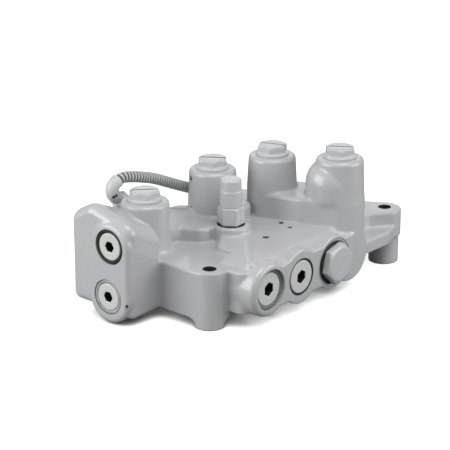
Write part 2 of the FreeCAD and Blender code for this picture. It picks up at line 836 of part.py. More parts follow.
def tower_spring(x, y, top):
    coil = coil_spring(tower_spring_radius, tower_spring_wire, seat_z + poppet_floor, top - spring_roof, 4)
    coil.translate(Vec(x, y, 0))
    return coil


def socket_plug(head_radius, head_length, thread_radius, thread_length, flats, depth):
    """Round plug with a hexagon socket; its head's top is at zero, outwards is +Z."""
    bottom = -head_length - thread_length
    profile = [
        (0, bottom), (thread_radius - thread_end_chamfer, bottom),
        (thread_radius, bottom + thread_end_chamfer), (thread_radius, -head_length),
        (head_radius, -head_length), (head_radius, -edge_break), (head_radius - edge_break, 0), (0, 0),
    ]
    return turned(profile, Vec(0, 0, 0)).cut(hexagon(flats, -depth, cut_over, socket_angle))


def cup_ring(head_radius, section):
    """Round seal in the annulus between a plug's head and its counterbore."""
    return bead_ring(head_radius + ring_clearance + section, section)


def spool_plug():
    """Big hexagon plug that closes the front of the spool bore and clamps a seal under its head."""
    head = chamfered_hexagon(spool_plug_flats, spool_plug_lift, spool_plug_head, spool_plug_angle,
                             spool_plug_chamfer)
    neck = cylinder(Vec(0, 0, -spool_plug_thread), Z_AXIS, spool_end_radius - thread_clearance,
                    spool_plug_thread + spool_plug_head / 2)
    pocket = cylinder(Vec(0, 0, -spool_plug_thread), Z_AXIS, spool_pocket_radius, spool_plug_pocket)
    body = head.fuse(neck).cut(pocket)
    return aimed(body, Vec(spool_x, front_y + spool_spot_depth, port_z), Y_AXIS * -1)


def spool_plug_oring():
    inner = spool_end_radius - thread_clearance + ring_clearance
    ring = seal_ring(inner, inner + spool_plug_ring_width, 0, spool_plug_lift)
    return aimed(ring, Vec(spool_x, front_y + spool_spot_depth, port_z), Y_AXIS * -1)


def spool_rear_plug():
    thread_radius = spool_end_radius - thread_clearance
    body = socket_plug(rear_head_radius, rear_head_length, thread_radius, spool_plug_thread,
                       rear_socket_flats, socket_depth)
    bottom = -rear_head_length - spool_plug_thread
    groove = turned([
        (thread_radius - rear_neck_depth, -rear_head_length - rear_neck_length),
        (spool_end_radius + cut_over, -rear_head_length - rear_neck_length),
        (spool_end_radius + cut_over, -rear_head_length),
        (thread_radius - rear_neck_depth, -rear_head_length),
    ], Vec(0, 0, 0))
    pocket = cylinder(Vec(0, 0, bottom), Z_AXIS, spool_pocket_radius, spool_plug_pocket)
    body = body.cut(groove).cut(pocket)
    return aimed(body, Vec(spool_x, rear_y + rear_head_length, port_z), Y_AXIS)


def spool_rear_oring():
    inner = spool_end_radius - thread_clearance - rear_neck_depth + ring_clearance
    ring = seal_ring(inner, spool_end_radius - ring_clearance, ring_clearance - rear_neck_length, -ring_clearance)
    return aimed(ring, Vec(spool_x, rear_y, port_z), Y_AXIS)


def spool():
    """Main spool: a ground bar with lands between its grooves."""
    radius = spool_bore_radius - running_clearance
    length = spool_rear_y - spool_front_y
    bar = turned([
        (0, 0), (radius - spool_chamfer, 0), (radius, spool_chamfer), (radius, length - spool_chamfer),
        (radius - spool_chamfer, length), (0, length),
    ], Vec(0, 0, 0))
    for y in spool_grooves_y:
        start = y - spool_front_y
        slope = radius - spool_groove_radius
        groove = turned([
            (spool_groove_radius, start), (radius, start - slope), (radius + cut_over, start - slope),
            (radius + cut_over, start + spool_groove_length + slope),
            (radius, start + spool_groove_length + slope), (spool_groove_radius, start + spool_groove_length),
        ], Vec(0, 0, 0))
        bar = bar.cut(groove)
    return aimed(bar, Vec(spool_x, spool_front_y, port_z), Y_AXIS)


def spool_spring(low_y, high_y):
    coil = coil_spring(spool_spring_radius, spool_spring_wire, 0, high_y - low_y, 3)
    return aimed(coil, Vec(spool_x, low_y, port_z), Y_AXIS)


def relief_body():
    """Hexagon sleeve screwed into the boss, hollow for the spring."""
    bottom = relief_seat_z + relief_seat_height
    profile = [
        (relief_inner_radius, bottom), (relief_shank_radius, bottom),
        (relief_shank_radius, pad_z - relief_neck_length), (relief_neck_radius, pad_z - relief_neck_length),
        (relief_neck_radius, pad_z + relief_neck_reach), (relief_inner_radius, pad_z + relief_neck_reach),
    ]
    shank = turned(profile, Vec(0, 0, 0))
    head = chamfered_hexagon(relief_flats, pad_z + relief_hex_lift, pad_z + relief_hex_height,
                             relief_hex_angle, relief_hex_chamfer)
    head = head.cut(cylinder(Vec(0, 0, pad_z), Z_AXIS, relief_inner_radius, relief_hex_height - relief_hex_roof))
    head = head.cut(cylinder(Vec(0, 0, pad_z), Z_AXIS, relief_screw_radius + thread_clearance, pad_z))
    body = shank.fuse(head)
    body.translate(Vec(relief_x, relief_y, 0))
    return body


def relief_oring():
    ring = bead_ring(relief_ring_radius, relief_ring_section)
    ring.translate(Vec(relief_x, relief_y, pad_z - relief_groove_depth))
    return ring


def relief_seat():
    top = relief_seat_height
    profile = [
        (relief_seat_hole, 0), (relief_shank_radius, 0), (relief_shank_radius, top), (relief_seat_hole, top),
    ]
    return turned(profile, Vec(relief_x, relief_y, relief_seat_z))


def relief_poppet():
    """Small cone that closes the seat, with a stem for the spring."""
    tip = relief_seat_hole - nose_clearance
    guide = relief_inner_radius - running_clearance
    profile = [
        (0, -relief_tip_length), (tip - relief_tip_taper, -relief_tip_length),
        (tip, relief_tip_taper - relief_tip_length), (tip, 0), (guide, 0), (guide, relief_poppet_disc),
        (relief_stem_radius, relief_poppet_disc),
        (relief_stem_radius, relief_poppet_disc + relief_stem_length),
        (0, relief_poppet_disc + relief_stem_length),
    ]
    return turned(profile, Vec(relief_x, relief_y, relief_seat_z + relief_seat_height))


def relief_screw():
    """Adjusting screw through the sleeve, with a slot in its top."""
    low = pad_z + relief_hex_height - relief_screw_foot
    high = cap_top_z - relief_screw_below_cap
    disc_radius = relief_inner_radius - nose_clearance
    profile = [
        (0, low), (disc_radius, low), (disc_radius, low + relief_screw_disc),
        (relief_screw_radius, low + relief_screw_disc), (relief_screw_radius, high - edge_break),
        (relief_screw_radius - edge_break, high), (0, high),
    ]
    screw = turned(profile, Vec(0, 0, 0))
    slot = Part.makeBox(4 * relief_screw_radius, relief_slot_width, relief_slot_depth + cut_over,
                        Vec(-2 * relief_screw_radius, -relief_slot_width / 2, high - relief_slot_depth))
    screw = screw.cut(slot)
    screw.translate(Vec(relief_x, relief_y, 0))
    return screw


def relief_locknut():
    low = pad_z + relief_hex_height
    nut = chamfered_hexagon(locknut_flats, low, low + locknut_height, locknut_angle, locknut_chamfer)
    nut = nut.cut(cylinder(Vec(0, 0, 0), Z_AXIS, relief_screw_radius + thread_clearance, 2 * low))
    nut.translate(Vec(relief_x, relief_y, 0))
    return nut


def relief_cap():
    """Round cover over the locknut and the end of the screw."""
    low = pad_z + relief_hex_height
    outer = [
        (0, low), (cap_radius, low), (cap_radius, cap_step_z), (cap_top_radius, cap_step_z + cap_step),
        (cap_top_radius, cap_top_z - cap_chamfer), (cap_top_radius - cap_chamfer, cap_top_z), (0, cap_top_z),
    ]
    hollow = cylinder(Vec(0, 0, low - cut_over), Z_AXIS,
                      locknut_flats / 2 / math.cos(math.pi / 6) + running_clearance * 2,
                      locknut_height + cut_over + cap_headroom)
    upper = cylinder(Vec(0, 0, low), Z_AXIS, relief_screw_radius + cap_headroom, cap_top_z - cap_roof - low)
    cap = turned(outer, Vec(0, 0, 0)).cut(hollow).cut(upper)
    cap.translate(Vec(relief_x, relief_y, 0))
    return cap


def relief_spring():
    low = relief_seat_z + relief_seat_height + relief_poppet_disc
    high = pad_z + relief_hex_height - relief_screw_foot
    coil = coil_spring(relief_spring_radius, relief_spring_wire, low, high, 4)
    coil.translate(Vec(relief_x, relief_y, 0))
    return coil


def route_edges(points):
    """Straight runs joined by tangent arcs, each as large as its two runs allow."""
    corners = [Vec(*p) for p in points]
    edges = []
    start = corners[0]
    for i in range(1, len(corners) - 1):
        back = corners[i - 1] - corners[i]
        ahead = corners[i + 1] - corners[i]
        reach = 0.45 * min(back.Length, ahead.Length)
        half_turn = (math.pi - back.getAngle(ahead)) / 2
        radius = reach / math.tan(half_turn)
        print("conduit arc", i, "radius", round(radius, 1))
        before = back.normalize()
        after = ahead.normalize()
        arc_start = corners[i] + before * reach
        arc_end = corners[i] + after * reach
        bisector = (before + after).normalize()
        arc_middle = corners[i] + bisector * (radius / math.cos(half_turn) - radius)
        edges.append(Part.LineSegment(start, arc_start).toShape())
        edges.append(Part.Arc(arc_start, arc_middle, arc_end).toShape())
        start = arc_end
    edges.append(Part.LineSegment(start, corners[-1]).toShape())
    return edges


def tube(edges, radius):
    """Solid round bar along a path."""
    path = Part.Wire(edges)
    direction = edges[0].tangentAt(edges[0].FirstParameter)
    ring = Part.Wire(Part.makeCircle(radius, edges[0].Vertexes[0].Point, direction))
    solid = path.makePipeShell([ring], True, False)
    area = math.pi * radius * radius
    print("tube volume", round(solid.Volume, 1), "section by length", round(area * path.Length, 1))
    return solid


def conduit_sleeve(edges):
    """Smooth sleeve over the first bend of the conduit."""
    first = edges[:sleeve_edge_count]
    outer = tube(first, conduit_radius + thread_clearance + sleeve_wall)
    return outer.cut(tube(first, conduit_radius + thread_clearance))


def conduit_gland(end, inner):
    """Hexagon gland with a collar that holds one end of the conduit."""
    body = hexagon(gland_flats, 0, gland_height - gland_collar_height, 0)
    collar = cylinder(Vec(0, 0, 0), Z_AXIS, gland_collar_radius, gland_height)
    direction = route_direction(end, inner)
    return aimed(body.fuse(collar), Vec(*end) - direction * gland_height, direction)


def write(name, shape):
    solids = shape.Solids
    if len(solids) != 1 or not shape.isValid():
        print("look at", name, "solids", len(solids), "valid", shape.isValid())
    shape.exportStep(os.path.join("parts", name + ".step"))


def write_front_plugs():
    thread_radius = port_gallery_radius - thread_clearance
    for name, x, cup, sink, section in (
        ("left", left_port_x, front_left_cup, front_left_sink, front_left_ring),
        ("middle", middle_port_x, front_middle_cup, 0.0, front_middle_ring),
    ):
        plug = socket_plug(front_head_radius, cup[1] - sink, thread_radius, plug_thread_length,
                           front_socket_flats, socket_depth)
        write("front_plug_" + name, aimed(plug, Vec(x, front_y + sink, port_z), Y_AXIS * -1))
        ring = cup_ring(front_head_radius, section)
        write("front_oring_" + name, aimed(ring, Vec(x, front_y + cup[1], port_z), Y_AXIS * -1))


def write_end_plugs():
    thread_radius = end_gallery_radius - thread_clearance
    for name, bore in (("lower", lower_end_bore), ("upper", upper_end_bore)):
        plug = socket_plug(end_head_radius, end_cup[1] - end_sink, thread_radius, plug_thread_length,
                           end_socket_flats, socket_depth)
        write("end_plug_" + name, aimed(plug, Vec(end_face_x + end_sink, bore[0], bore[1]), X_AXIS * -1))
        ring = cup_ring(end_head_radius, end_ring)
        write("end_oring_" + name, aimed(ring, Vec(end_face_x + end_cup[1], bore[0], bore[1]), X_AXIS * -1))


def write_spool():
    write("spool_plug", spool_plug())
    write("spool_plug_oring", spool_plug_oring())
    write("spool_rear_plug", spool_rear_plug())
    write("spool_rear_oring", spool_rear_oring())
    write("spool", spool())
    pocket_roof = spool_plug_thread - spool_plug_pocket
    write("spool_spring_front", spool_spring(front_y + spool_spot_depth + pocket_roof, spool_front_y))
    write("spool_spring_rear", spool_spring(spool_rear_y, rear_y - pocket_roof))


def write_relief():
    write("relief_seat", relief_seat())
    write("relief_poppet", relief_poppet())
    write("relief_spring", relief_spring())
    write("relief_body", relief_body())
    write("relief_oring", relief_oring())
    write("relief_screw", relief_screw())
    write("relief_locknut", relief_locknut())
    write("relief_cap", relief_cap())


def write_conduit():
    edges = route_edges(conduit_route)
    write("conduit", tube(edges, conduit_radius))
    write("conduit_sleeve", conduit_sleeve(edges))
    write("conduit_gland_left", conduit_gland(conduit_route[0], conduit_route[1]))
    write("conduit_gland_right", conduit_gland(conduit_route[-1], conduit_route[-2]))


def main():
    os.makedirs("parts", exist_ok=True)
    body = cut_bores(casting())
    write("valve_body", body)
    for name, x, y, top, slot_turn in towers:
        write("tower_plug_" + name, tower_plug(x, y, top, slot_turn))
        write("tower_oring_" + name, tower_oring(x, y, top))
        write("poppet_" + name, poppet(x, y))
        write("poppet_spring_" + name, tower_spring(x, y, top))
    write_front_plugs()
    write_end_plugs()
    write_spool()
    write_relief()
    write_conduit()


main()
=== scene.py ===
import math

import bpy
import numpy as np
from mathutils import Matrix, Vector


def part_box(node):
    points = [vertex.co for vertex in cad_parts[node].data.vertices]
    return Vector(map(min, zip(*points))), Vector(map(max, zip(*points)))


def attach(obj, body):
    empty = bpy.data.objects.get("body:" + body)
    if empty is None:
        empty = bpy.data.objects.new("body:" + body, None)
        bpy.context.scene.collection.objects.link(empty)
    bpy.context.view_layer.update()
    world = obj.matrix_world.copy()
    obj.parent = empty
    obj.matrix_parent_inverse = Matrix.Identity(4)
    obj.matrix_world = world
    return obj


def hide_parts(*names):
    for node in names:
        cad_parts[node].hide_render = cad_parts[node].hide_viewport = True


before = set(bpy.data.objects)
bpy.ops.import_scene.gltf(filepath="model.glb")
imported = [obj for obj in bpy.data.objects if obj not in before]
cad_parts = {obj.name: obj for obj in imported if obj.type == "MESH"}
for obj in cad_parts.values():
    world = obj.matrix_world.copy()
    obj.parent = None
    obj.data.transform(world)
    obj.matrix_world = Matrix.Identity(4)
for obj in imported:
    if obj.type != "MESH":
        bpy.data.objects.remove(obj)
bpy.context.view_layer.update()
mm = 0.001
weldReach = 0.002
smoothFactor = 0.5

# selection and modifier helpers


def deselectAll():
    bpy.ops.object.select_all(action="DESELECT")


def pick(obj):
    deselectAll()
    obj.select_set(True)
    bpy.context.view_layer.objects.active = obj


def editMesh(obj, mode):
    pick(obj)
    bpy.ops.object.mode_set(mode="EDIT")
    bpy.ops.mesh.select_mode(type=mode)
    bpy.ops.mesh.select_all(action="DESELECT")


def leaveEdit():
    bpy.ops.object.mode_set(mode="OBJECT")


def applyModifier(obj, kind, **settings):
    pick(obj)
    modifier = obj.modifiers.new(kind.lower(), kind)
    for key, value in settings.items():
        setattr(modifier, key, value)
    bpy.ops.object.modifier_apply(modifier=modifier.name)


def settle(obj):
    pick(obj)
    bpy.ops.object.transform_apply(location=True, rotation=True, scale=True)


def smoothByAngle(obj, degrees):
    pick(obj)
    bpy.ops.object.shade_smooth_by_angle(angle=math.radians(degrees))


def readVectors(items, label):
    values = np.empty(len(items) * 3)
    items.foreach_get(label, values)
    return values.reshape(-1, 3)


def setWeights(obj, name, weights, steps):
    group = obj.vertex_groups.get(name) or obj.vertex_groups.new(name=name)
    levels = np.round(weights * steps).astype(int)
    for level in range(steps + 1):
        chosen = np.flatnonzero(levels == level)
        if len(chosen):
            group.add(chosen.tolist(), level / steps, "REPLACE")


def remesh(obj, sizes):
    voxel = sizes["voxel"]
    applyModifier(obj, "REMESH", mode="VOXEL", voxel_size=voxel * mm, use_smooth_shade=True)
    return voxel


def triangleCount(obj):
    return sum(len(face.vertices) - 2 for face in obj.data.polygons)


def pieceName(node, ending):
    words = node.split("_")
    return words[0] + "".join(word.capitalize() for word in words[1:]) + ending


def nodeCopy(name, newName):
    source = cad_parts[name]
    copy = bpy.data.objects.new(newName, source.data.copy())
    bpy.context.scene.collection.objects.link(copy)
    copy.data.name = newName
    copy.data.materials.clear()
    if copy.data.has_custom_normals:
        pick(copy)
        bpy.ops.mesh.customdata_custom_splitnormals_clear()
    editMesh(copy, "VERT")
    bpy.ops.mesh.select_all(action="SELECT")
    bpy.ops.mesh.remove_doubles(threshold=weldReach * mm)
    leaveEdit()
    return copy


def joinAll(first, others):
    deselectAll()
    for obj in others:
        obj.select_set(True)
    first.select_set(True)
    bpy.context.view_layer.objects.active = first
    bpy.ops.object.join()
    return first


def bar(start, direction, radius, length, sides=64):
    ahead = Vector(direction).normalized()
    centre = (Vector(start) + ahead * length / 2) * mm
    turn = ahead.to_track_quat("Z", "Y").to_euler()
    deselectAll()
    bpy.ops.mesh.primitive_cylinder_add(vertices=sides, radius=radius * mm, depth=length * mm,
                                        location=centre, rotation=turn)
    obj = bpy.context.object
    settle(obj)
    return obj


# shader groups


def newGroup(name, inputs, outputs):
    tree = bpy.data.node_groups.new(name, "ShaderNodeTree")
    for label, kind, value in inputs:
        socket = tree.interface.new_socket(name=label, in_out="INPUT", socket_type=kind)
        if value is not None:
            socket.default_value = value
    for label, kind in outputs:
        tree.interface.new_socket(name=label, in_out="OUTPUT", socket_type=kind)
    return tree, tree.nodes.new("NodeGroupInput"), tree.nodes.new("NodeGroupOutput")


def addNode(tree, kind, **settings):
    node = tree.nodes.new(kind)
    for key, value in settings.items():
        setattr(node, key, value)
    return node


def wire(tree, source, target):
    tree.links.new(source, target)


def mathNode(tree, operation, first, second):
    node = addNode(tree, "ShaderNodeMath", operation=operation)
    for socket, value in zip(node.inputs, (first, second)):
        if isinstance(value, (int, float)):
            socket.default_value = value
        else:
            wire(tree, value, socket)
    return node.outputs[0]


def rangeNode(tree, value, low, high, outLow=0.0, outHigh=1.0):
    node = addNode(tree, "ShaderNodeMapRange", interpolation_type="SMOOTHSTEP")
    wire(tree, value, node.inputs["Value"])
    for label, number in (("From Min", low), ("From Max", high), ("To Min", outLow), ("To Max", outHigh)):
        node.inputs[label].default_value = number
    return node.outputs["Result"]


def noiseNode(tree, vector, scale, detail=3.0, roughness=0.5):
    node = addNode(tree, "ShaderNodeTexNoise")
    wire(tree, vector, node.inputs["Vector"])
    if isinstance(scale, (int, float)):
        node.inputs["Scale"].default_value = scale
    else:
        wire(tree, scale, node.inputs["Scale"])
    node.inputs["Detail"].default_value = detail
    node.inputs["Roughness"].default_value = roughness
    return node.outputs["Fac"]


def mixColors(tree, factor, first, second):
    node = addNode(tree, "ShaderNodeMix", data_type="RGBA")
    for socket, value in ((node.inputs[0], factor), (node.inputs[6], first), (node.inputs[7], second)):
        if isinstance(value, (int, float, tuple)):
            socket.default_value = value
        else:
            wire(tree, value, socket)
    return node.outputs[2]


def objectPlace(tree):
    return addNode(tree, "ShaderNodeTexCoord").outputs["Object"]


toneValues = {
    "tintScale": 26.0,
    "tintRange": (0.35, 0.7),
    "coolTint": (0.985, 1.0, 0.995, 1.0),
    "warmTint": (1.0, 0.99, 1.01, 1.0),
    "smearScale": 70.0,
    "smearRange": (0.3, 0.75),
    "smearShift": (-0.05, 0.07),
}


def buildPaintTone(values):
    tree, inside, outside = newGroup("paintTone", [
        ("Paint", "NodeSocketColor", (0.6, 0.6, 0.6, 1.0)),
        ("Spread", "NodeSocketFloat", 0.05),
        ("Patch Scale", "NodeSocketFloat", 18.0),
    ], [("Color", "NodeSocketColor"), ("Roughness Shift", "NodeSocketFloat")])
    place = objectPlace(tree)
    patches = noiseNode(tree, place, inside.outputs["Patch Scale"], 3.0, 0.55)
    drift = mathNode(tree, "MULTIPLY", mathNode(tree, "SUBTRACT", patches, 0.5), inside.outputs["Spread"])
    level = mathNode(tree, "ADD", mathNode(tree, "MULTIPLY", drift, 2.0), 1.0)
    tint = noiseNode(tree, place, values["tintScale"], 2.0, 0.5)
    cool = mixColors(tree, rangeNode(tree, tint, *values["tintRange"]), values["coolTint"], values["warmTint"])
    toned = addNode(tree, "ShaderNodeVectorMath", operation="SCALE")
    wire(tree, inside.outputs["Paint"], toned.inputs[0])
    wire(tree, level, toned.inputs["Scale"])
    tinted = addNode(tree, "ShaderNodeVectorMath", operation="MULTIPLY")
    wire(tree, toned.outputs[0], tinted.inputs[0])
    wire(tree, cool, tinted.inputs[1])
    wire(tree, tinted.outputs[0], outside.inputs["Color"])
    smear = noiseNode(tree, place, values["smearScale"], 4.0, 0.6)
    shift = rangeNode(tree, smear, *values["smearRange"], *values["smearShift"])
    wire(tree, shift, outside.inputs["Roughness Shift"])
    return tree


def buildPaintSkin():
    tree, inside, outside = newGroup("paintSkin", [
        ("Grain Height", "NodeSocketFloat", 0.00003),
        ("Peel Height", "NodeSocketFloat", 0.00004),
        ("Grain Scale", "NodeSocketFloat", 900.0),
        ("Peel Scale", "NodeSocketFloat", 180.0),
    ], [("Height", "NodeSocketFloat")])
    place = objectPlace(tree)
    grain = noiseNode(tree, place, inside.outputs["Grain Scale"], 2.0, 0.5)
    peel = noiseNode(tree, place, inside.outputs["Peel Scale"], 3.0, 0.5)
    total = mathNode(tree, "ADD", mathNode(tree, "MULTIPLY", grain, inside.outputs["Grain Height"]),
                     mathNode(tree, "MULTIPLY", peel, inside.outputs["Peel Height"]))
    wire(tree, total, outside.inputs["Height"])
    return tree


edgeHighlightRange = (0.53, 0.60)


# pointiness mask: painted shade for concave hollows and a painted highlight for convex edges
def buildPaintedShadeAndHighlight():
    tree, inside, outside = newGroup("paintedShadeAndHighlight", [
        ("Low", "NodeSocketFloat", 0.40),
        ("High", "NodeSocketFloat", 0.50),
    ], [("Hollow", "NodeSocketFloat"), ("Edge", "NodeSocketFloat")])
    pointed = addNode(tree, "ShaderNodeNewGeometry").outputs["Pointiness"]
    node = addNode(tree, "ShaderNodeMapRange", interpolation_type="SMOOTHSTEP")
    wire(tree, pointed, node.inputs["Value"])
    wire(tree, inside.outputs["Low"], node.inputs["From Min"])
    wire(tree, inside.outputs["High"], node.inputs["From Max"])
    node.inputs["To Min"].default_value = 1.0
    node.inputs["To Max"].default_value = 0.0
    wire(tree, node.outputs["Result"], outside.inputs["Hollow"])
    wire(tree, rangeNode(tree, pointed, *edgeHighlightRange), outside.inputs["Edge"])
    return tree


chipAndShadowValues = {
    "raggedScale": 900.0,
    "raggedReach": 1.6,
    "edge": (0.8, 1.05),
    "color": (0.02, 0.02, 0.022, 1.0),
    "roughness": 0.7,
}


# dark spots: real paint chips, and painted shadow marks where laid on the sleeve
def buildChipAndShadowMask(values):
    tree, inside, outside = newGroup("chipAndShadowMask", [
        ("Centre", "NodeSocketVector", (0.0, 0.0, 0.0)),
        ("Size", "NodeSocketFloat", 0.001),
    ], [("Chip", "NodeSocketFloat")])
    place = objectPlace(tree)
    offset = addNode(tree, "ShaderNodeVectorMath", operation="SUBTRACT")
    wire(tree, place, offset.inputs[0])
    wire(tree, inside.outputs["Centre"], offset.inputs[1])
    reach = addNode(tree, "ShaderNodeVectorMath", operation="LENGTH")
    wire(tree, offset.outputs[0], reach.inputs[0])
    share = mathNode(tree, "DIVIDE", reach.outputs["Value"], inside.outputs["Size"])
    ragged = noiseNode(tree, place, values["raggedScale"], 3.0, 0.6)
    wobble = mathNode(tree, "MULTIPLY", mathNode(tree, "SUBTRACT", ragged, 0.5), values["raggedReach"])
    chipAndShadow = rangeNode(tree, mathNode(tree, "ADD", share, wobble), *values["edge"], 1.0, 0.0)
    wire(tree, chipAndShadow, outside.inputs["Chip"])
    return tree


paintTone = buildPaintTone(toneValues)
paintSkin = buildPaintSkin()
paintedShadeAndHighlight = buildPaintedShadeAndHighlight()
chipAndShadowMask = buildChipAndShadowMask(chipAndShadowValues)


def placeGroup(tree, group, **values):
    node = addNode(tree, "ShaderNodeGroup", node_tree=group)
    for label, value in values.items():
        node.inputs[label.replace("_", " ")].default_value = value
    return node


def newMaterial(name):
    material = bpy.data.materials.new(name)
    material.use_nodes = True
    tree = material.node_tree
    shader = tree.nodes["Principled BSDF"]
    return material, tree, shader


def paintMaterial(name, look, chipAndShadowSpots=()):
    material, tree, shader = newMaterial(name)
    tone = placeGroup(tree, paintTone, Paint=(*look["color"], 1.0), Spread=look["spread"], Patch_Scale=look["patch"])
    color = tone.outputs["Color"]
    # painted shade darkens the hollows, then a painted highlight lightens the convex edges
    paintedLight = placeGroup(tree, paintedShadeAndHighlight, Low=look["hollowLow"], High=look["hollowHigh"])
    shade = mathNode(tree, "MULTIPLY", paintedLight.outputs["Hollow"], look["hollowShade"])
    color = mixColors(tree, shade, color, (*look["hollowShadeColor"], 1.0))
    edge = mathNode(tree, "MULTIPLY", paintedLight.outputs["Edge"], look["edgeHighlightShare"])
    color = mixColors(tree, edge, color, (*look["edgeHighlightColor"], 1.0))
    rough = mathNode(tree, "ADD", tone.outputs["Roughness Shift"], look["roughness"])
    # dark spots: paint chips on the casting, painted shadow marks on the sleeve
    for centre, size in chipAndShadowSpots:
        chipAndShadow = placeGroup(tree, chipAndShadowMask, Centre=tuple(c * mm for c in centre), Size=size * mm)
        color = mixColors(tree, chipAndShadow.outputs["Chip"], color, chipAndShadowValues["color"])
        chipAndShadowRough = mathNode(tree, "MULTIPLY", chipAndShadow.outputs["Chip"], chipAndShadowValues["roughness"])
        rough = mathNode(tree, "MAXIMUM", rough, chipAndShadowRough)
    # the conduit's grooves painted darker: thinner paint there, and painted shade
    if "groove" in look:
        depth = addNode(tree, "ShaderNodeAttribute", attribute_name="groove").outputs["Fac"]
        color = mixColors(tree, mathNode(tree, "MULTIPLY", depth, look["groove"]), color, (*look["grooveShadeColor"], 1.0))
    wire(tree, color, shader.inputs["Base Color"])
    wire(tree, rough, shader.inputs["Roughness"])
    skin = placeGroup(tree, paintSkin, Grain_Height=look["grain"] * mm, Peel_Height=look["peel"] * mm,
                      Grain_Scale=look["grainScale"], Peel_Scale=look["peelScale"])
    bump = addNode(tree, "ShaderNodeBump")
    bump.inputs["Strength"].default_value = 1.0
    bump.inputs["Distance"].default_value = 1.0
    wire(tree, skin.outputs["Height"], bump.inputs["Height"])
    wire(tree, bump.outputs["Normal"], shader.inputs["Normal"])
    shader.inputs["Coat Weight"].default_value = look["coat"]
    shader.inputs["Coat Roughness"].default_value = look["coatRoughness"]
    return material


castLook = {
    "color": (0.51, 0.513, 0.518),
    "spread": 0.035,
    "patch": 16.0,
    "hollowLow": 0.42,
    "hollowHigh": 0.49,
    # painted shade in the hollows and a painted highlight on the edges
    "hollowShade": 0.16,
    "hollowShadeColor": (0.30, 0.30, 0.31),
    "edgeHighlightShare": 0.15,
    "edgeHighlightColor": (0.70, 0.70, 0.70),
    "roughness": 0.34,
    "grain": 0.010,
    "grainScale": 700.0,
    "peel": 0.07,
    "peelScale": 90.0,
    "coat": 0.6,
    "coatRoughness": 0.11,
}
fittingLook = dict(castLook, color=(0.55, 0.553, 0.558), grain=0.003, peel=0.004, peelScale=260.0, roughness=0.30,
                   coat=0.4, hollowShade=0.0, edgeHighlightShare=0.0)
socketLook = dict(castLook, color=(0.63, 0.65, 0.63), grain=0.003, peel=0.008, peelScale=300.0, roughness=0.36,
                  coat=0.2, hollowShade=0.0, edgeHighlightShare=0.0)
sleeveLook = dict(castLook, color=(0.56, 0.565, 0.56), grain=0.004, peel=0.02, peelScale=300.0, roughness=0.42,
                  coat=0.1, hollowShade=0.0, edgeHighlightShare=0.0)
conduitLook = dict(castLook, color=(0.52, 0.53, 0.525), grain=0.004, peel=0.01, peelScale=300.0, roughness=0.48,
                   coat=0.05, spread=0.06, patch=60.0, hollowShade=0.0, edgeHighlightShare=0.0,
                   groove=0.9, grooveShadeColor=(0.06, 0.063, 0.063))
chipSpots = [
    ((1.6, -18.5, 53.2), 2.4),
    ((-1.9, -30.6, 53.2), 2.2),
    ((-32.5, -30.7, 53.2), 2.8),
    ((-39.6, 42.2, 88.5), 1.9),
    ((-40.1, 40.9, 64.4), 1.3),
    ((-151.0, 10.3, 19.5), 1.5),
]
castPaint = paintMaterial("castPaint", castLook, chipSpots)
fittingPaint = paintMaterial("fittingPaint", fittingLook)
# dark paint inside the screwdriver slots: painted shade
slotShadePaint = paintMaterial("slotShadePaint", dict(fittingLook, color=(0.12, 0.122, 0.124), coat=0.1))
socketPaint = paintMaterial("socketPaint", socketLook)
# painted shadow gap where the sleeve meets the end block
sleeveShadowMarks = [((-115.0, 58.4, 86.3), 1.5), ((-112.8, 58.4, 87.7), 1.5), ((-110.6, 58.4, 89.0), 1.5)]
sleevePaint = paintMaterial("sleevePaint", sleeveLook, sleeveShadowMarks)
conduitPaint = paintMaterial("conduitPaint", conduitLook)


rubberValues = {
    "cloudScale": 120.0,
    "cloudRange": (0.4, 0.75),
    "lighter": 1.5,
    "roughRange": (0.3, 0.7),
    "roughSpread": 0.08,
    "grainScale": 1500.0,
    "grainStrength": 0.3,
    "grainHeight": 0.02,
}
steelValues = {
    "streakScale": 400.0,
    "darker": 0.75,
    "roughRange": (0.3, 0.7),
    "smoother": 0.08,
    "rougher": 0.1,
    "grainStrength": 0.25,
    "grainHeight": 0.01,
}


def addBump(tree, shader, height, strength, distance):
    bump = addNode(tree, "ShaderNodeBump")
    bump.inputs["Strength"].default_value = strength
    bump.inputs["Distance"].default_value = distance
    wire(tree, height, bump.inputs["Height"])
    wire(tree, bump.outputs["Normal"], shader.inputs["Normal"])


def rubberMaterial(name, color, roughness):
    values = rubberValues
    material, tree, shader = newMaterial(name)
    place = objectPlace(tree)
    cloud = noiseNode(tree, place, values["cloudScale"], 3.0, 0.6)
    lighter = tuple(c * values["lighter"] for c in color)
    clouded = mixColors(tree, rangeNode(tree, cloud, *values["cloudRange"]), (*color, 1.0), (*lighter, 1.0))
    wire(tree, clouded, shader.inputs["Base Color"])
    low, high = roughness - values["roughSpread"], roughness + values["roughSpread"]
    wire(tree, rangeNode(tree, cloud, *values["roughRange"], low, high), shader.inputs["Roughness"])
    grain = noiseNode(tree, place, values["grainScale"], 2.0)
    addBump(tree, shader, grain, values["grainStrength"], values["grainHeight"] * mm)
    return material


def steelMaterial(name, color, roughness, stretch):
    values = steelValues
    material, tree, shader = newMaterial(name)
    shader.inputs["Metallic"].default_value = 1.0
    mapping = addNode(tree, "ShaderNodeMapping")
    wire(tree, objectPlace(tree), mapping.inputs["Vector"])
    mapping.inputs["Scale"].default_value = stretch
    streaks = noiseNode(tree, mapping.outputs["Vector"], values["streakScale"], 4.0, 0.6)
    darker = tuple(c * values["darker"] for c in color)
    wire(tree, mixColors(tree, streaks, (*darker, 1.0), (*color, 1.0)), shader.inputs["Base Color"])
    low, high = roughness - values["smoother"], roughness + values["rougher"]
    wire(tree, rangeNode(tree, streaks, *values["roughRange"], low, high), shader.inputs["Roughness"])
    addBump(tree, shader, streaks, values["grainStrength"], values["grainHeight"] * mm)
    return material


